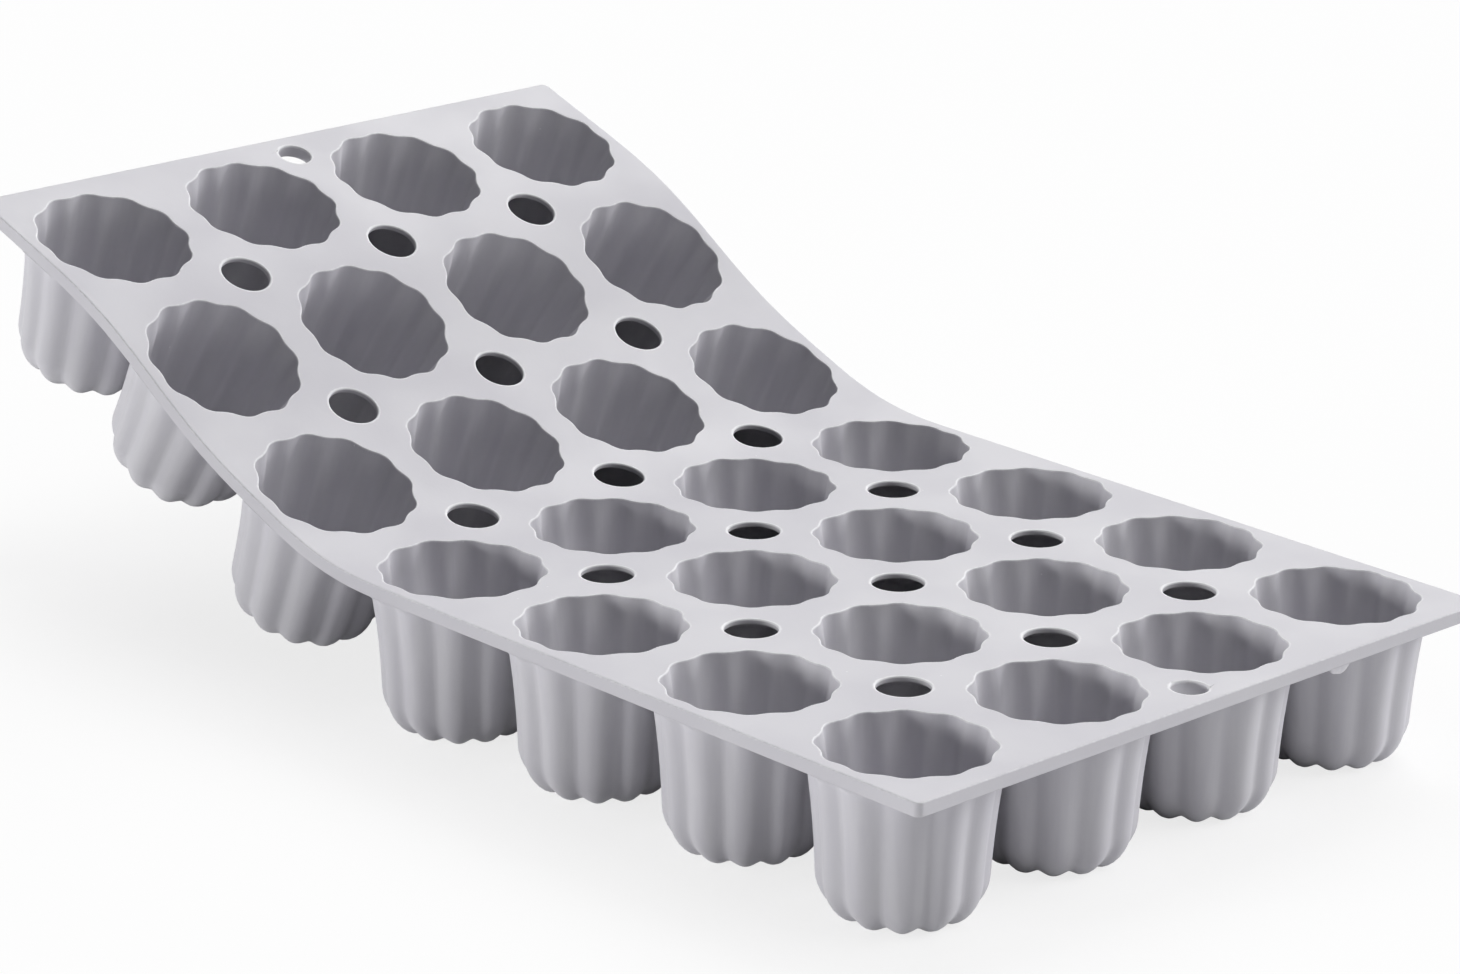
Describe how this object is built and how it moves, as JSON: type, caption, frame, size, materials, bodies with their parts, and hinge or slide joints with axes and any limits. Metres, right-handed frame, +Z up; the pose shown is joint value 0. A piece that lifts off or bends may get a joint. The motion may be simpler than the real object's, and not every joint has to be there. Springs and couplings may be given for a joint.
{
  "type": "fluted baking mould",
  "caption": "Flexible silicone baking tray of fluted cylindrical cups hanging from a perforated sheet, bendable between its rows; moulds small fluted cakes.",
  "frame": {"origin": "on the table, under the middle of the mould's box", "axes": "+X along the mould from the lifted end, row 1, to the flat end, row 7; +Y across the mould, away from the near long side; +Z up, towards the mouths"},
  "size_m": [0.2908, 0.1642, 0.0868],
  "materials": {
    "silicone_deck": "matt, faintly cloudy moulded silicone",
    "silicone_cup": "matt moulded silicone, satin on the walls",
    "silicone_web": "matt moulded silicone"
  },
  "bodies": {
    "row_1": {"deck_row_1": "silicone_deck", "cup_r1_c1": "silicone_cup", "cup_r1_c2": "silicone_cup", "cup_r1_c3": "silicone_cup", "cup_r1_c4": "silicone_cup"},
    "row_2": {"deck_row_2": "silicone_deck", "cup_r2_c1": "silicone_cup", "cup_r2_c2": "silicone_cup", "cup_r2_c3": "silicone_cup", "cup_r2_c4": "silicone_cup", "flex_web_1_2": "silicone_web"},
    "row_3": {"deck_row_3": "silicone_deck", "cup_r3_c1": "silicone_cup", "cup_r3_c2": "silicone_cup", "cup_r3_c3": "silicone_cup", "cup_r3_c4": "silicone_cup", "flex_web_2_3": "silicone_web"},
    "row_4": {"deck_row_4": "silicone_deck", "cup_r4_c1": "silicone_cup", "cup_r4_c2": "silicone_cup", "cup_r4_c3": "silicone_cup", "cup_r4_c4": "silicone_cup", "flex_web_3_4": "silicone_web"},
    "row_5": {"deck_row_5": "silicone_deck", "cup_r5_c1": "silicone_cup", "cup_r5_c2": "silicone_cup", "cup_r5_c3": "silicone_cup", "cup_r5_c4": "silicone_cup", "flex_web_4_5": "silicone_web", "flex_web_5_6": "silicone_web"},
    "row_6": {"deck_row_6": "silicone_deck", "cup_r6_c1": "silicone_cup", "cup_r6_c2": "silicone_cup", "cup_r6_c3": "silicone_cup", "cup_r6_c4": "silicone_cup", "flex_web_6_7": "silicone_web"},
    "row_7": {"deck_row_7": "silicone_deck", "cup_r7_c1": "silicone_cup", "cup_r7_c2": "silicone_cup", "cup_r7_c3": "silicone_cup", "cup_r7_c4": "silicone_cup"}
  },
  "joints": [
    {"name": "flex_4_5", "type": "hinge", "parent": "row_5", "child": "row_4", "pos_m": [0.0165, 0, 0.0325], "axis": [0, 1, 0], "range_deg": [-20, 40], "deforming": ["flex_web_4_5"]},
    {"name": "flex_3_4", "type": "hinge", "parent": "row_4", "child": "row_3", "pos_m": [-0.02595, 0, 0.03399], "axis": [0, 1, 0], "range_deg": [-41.5, 18.5], "deforming": ["flex_web_3_4"]},
    {"name": "flex_2_3", "type": "hinge", "parent": "row_3", "child": "row_2", "pos_m": [-0.0657, 0, 0.04887], "axis": [0, 1, 0], "range_deg": [-31, 29], "deforming": ["flex_web_2_3"]},
    {"name": "flex_1_2", "type": "hinge", "parent": "row_2", "child": "row_1", "pos_m": [-0.10244, 0, 0.07025], "axis": [0, 1, 0], "range_deg": [-6.5, 53.5], "deforming": ["flex_web_1_2"]},
    {"name": "flex_5_6", "type": "hinge", "parent": "row_5", "child": "row_6", "pos_m": [0.05904, 0, 0.0325], "axis": [0, -1, 0], "range_deg": [-20, 40], "deforming": ["flex_web_5_6"]},
    {"name": "flex_6_7", "type": "hinge", "parent": "row_6", "child": "row_7", "pos_m": [0.10158, 0, 0.0325], "axis": [0, -1, 0], "range_deg": [-20, 40], "deforming": ["flex_web_6_7"]}
  ]
}
